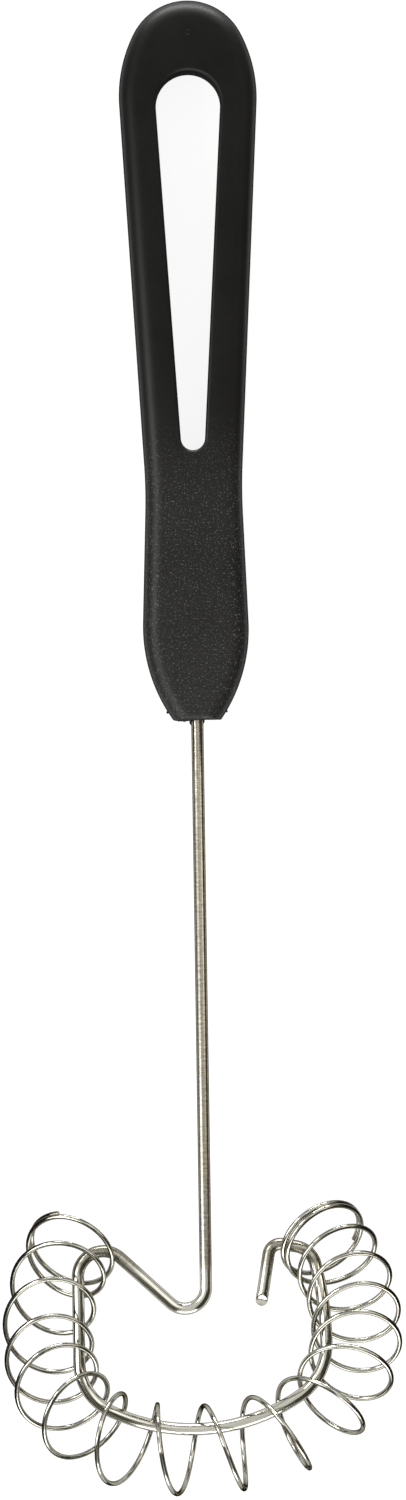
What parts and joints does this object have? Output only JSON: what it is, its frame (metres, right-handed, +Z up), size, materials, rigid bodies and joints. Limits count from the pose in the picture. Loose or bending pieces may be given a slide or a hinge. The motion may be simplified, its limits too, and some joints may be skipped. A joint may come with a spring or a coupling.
{
  "type": "flat coil whisk",
  "caption": "Flat whisk: slotted dark plastic handle, bent steel rod forming an open hoop, and a loose coil spring threaded on the hoop to beat and scrape.",
  "frame": {"origin": "point on the flat back of the handle, on the shaft's line, 22 mm above the handle's lower end; the back of the handle and the lowest points of the spring lie in the plane Z = 0", "axes": "+Y along the shaft from the hoop to the handle's top, +X to the hook side of the hoop, +Z up out of the handle's front"},
  "size_m": [0.0713, 0.2663, 0.017],
  "materials": {
    "handle_plastic": "fine moulded texture, satin",
    "frame_steel": "bright drawn rod",
    "spring_steel": "bright drawn spring wire"
  },
  "bodies": {
    "frame": {"handle": "handle_plastic", "frame_wire": "frame_steel"},
    "spring": {"coil_spring": "spring_steel"}
  },
  "joints": [
    {"name": "spring_creep", "type": "hinge", "parent": "frame", "child": "spring", "pos_m": [-0.00073, -0.1328, 0.0047], "axis": [0, 0, 1], "range_deg": [-4, 4]}
  ]
}
